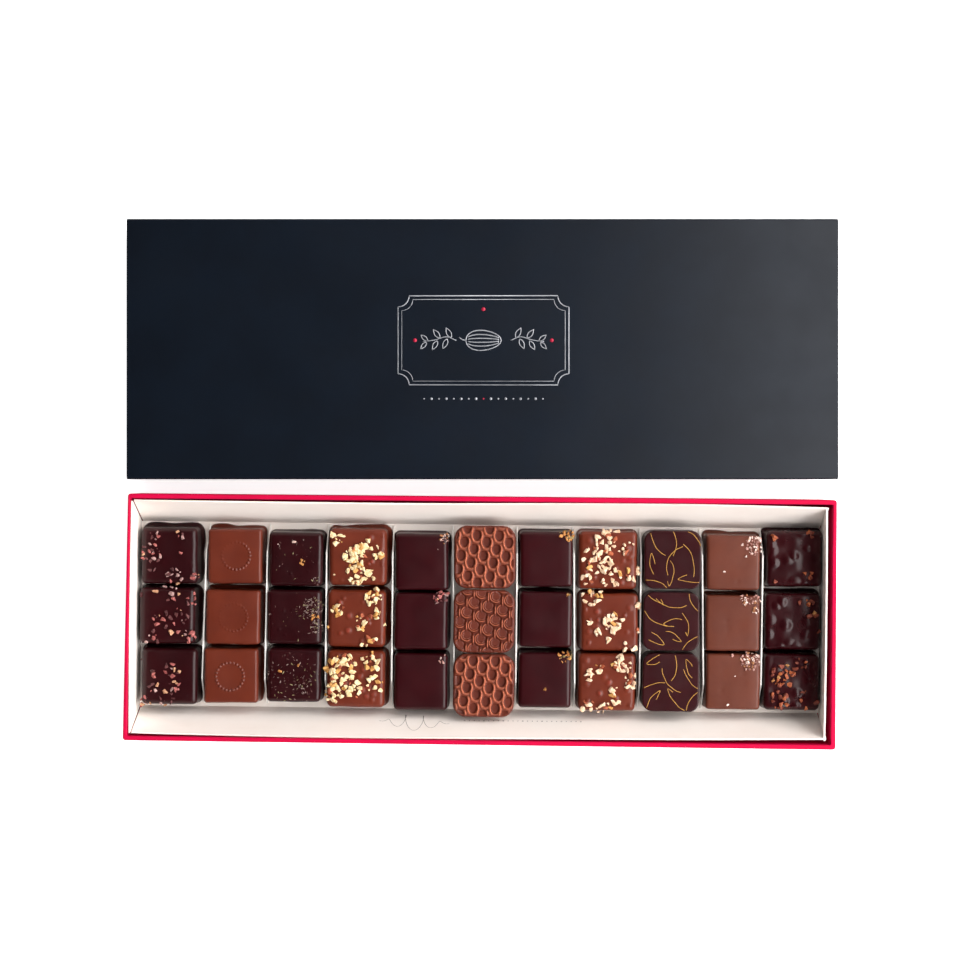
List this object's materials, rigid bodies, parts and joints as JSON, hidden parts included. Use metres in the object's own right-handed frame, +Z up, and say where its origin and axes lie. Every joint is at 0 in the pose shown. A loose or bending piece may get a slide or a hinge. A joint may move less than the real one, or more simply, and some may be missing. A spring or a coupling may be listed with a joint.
{
  "type": "box of chocolate pralines",
  "caption": "Long shallow card tray with a sloped liner and upright dividers, filled with square chocolate pralines, and its slip-on sleeve lying flat behind it.",
  "frame": {"origin": "middle of the footprint of the tray and the sleeve together, on the surface they lie on", "axes": "+X to the right along the tray, +Y from the tray's front to the sleeve behind it, +Z up out of the tray"},
  "size_m": [0.2894, 0.215, 0.0316],
  "materials": {
    "crimson_board": "satin",
    "navy_board": "satin",
    "cream_card": "matte",
    "white_card": "matte",
    "dark_chocolate": "satin",
    "milk_chocolate": "satin",
    "chopped_nuts": "matte",
    "cocoa_nibs": "matte",
    "sugar_flakes": "matte",
    "caramel_bits": "satin",
    "silver_foil": "satin",
    "ochre_print": "matte"
  },
  "bodies": {
    "root": {"tray": "crimson_board", "liner": "cream_card", "sleeve": "navy_board", "divider_1": "white_card", "divider_2": "white_card", "divider_3": "white_card", "divider_4": "white_card", "divider_5": "white_card", "divider_6": "white_card", "divider_7": "white_card", "divider_8": "white_card", "divider_9": "white_card", "divider_10": "white_card", "praline_1_1": "dark_chocolate", "praline_1_2": "dark_chocolate", "praline_1_3": "dark_chocolate", "praline_2_1": "milk_chocolate", "praline_2_2": "milk_chocolate", "praline_2_3": "milk_chocolate", "praline_3_1": "dark_chocolate", "praline_3_2": "dark_chocolate", "praline_3_3": "dark_chocolate", "praline_4_1": "milk_chocolate", "praline_4_2": "milk_chocolate", "praline_4_3": "milk_chocolate", "praline_5_1": "dark_chocolate", "praline_5_2": "dark_chocolate", "praline_5_3": "dark_chocolate", "praline_6_1": "milk_chocolate", "praline_6_2": "milk_chocolate", "praline_6_3": "milk_chocolate", "praline_7_1": "dark_chocolate", "praline_7_2": "dark_chocolate", "praline_7_3": "dark_chocolate", "praline_8_1": "milk_chocolate", "praline_8_2": "milk_chocolate", "praline_8_3": "milk_chocolate", "praline_9_1": "dark_chocolate", "praline_9_2": "dark_chocolate", "praline_9_3": "dark_chocolate", "praline_10_1": "milk_chocolate", "praline_10_2": "milk_chocolate", "praline_10_3": "milk_chocolate", "praline_11_1": "dark_chocolate", "praline_11_2": "dark_chocolate", "praline_11_3": "dark_chocolate"}
  },
  "joints": []
}
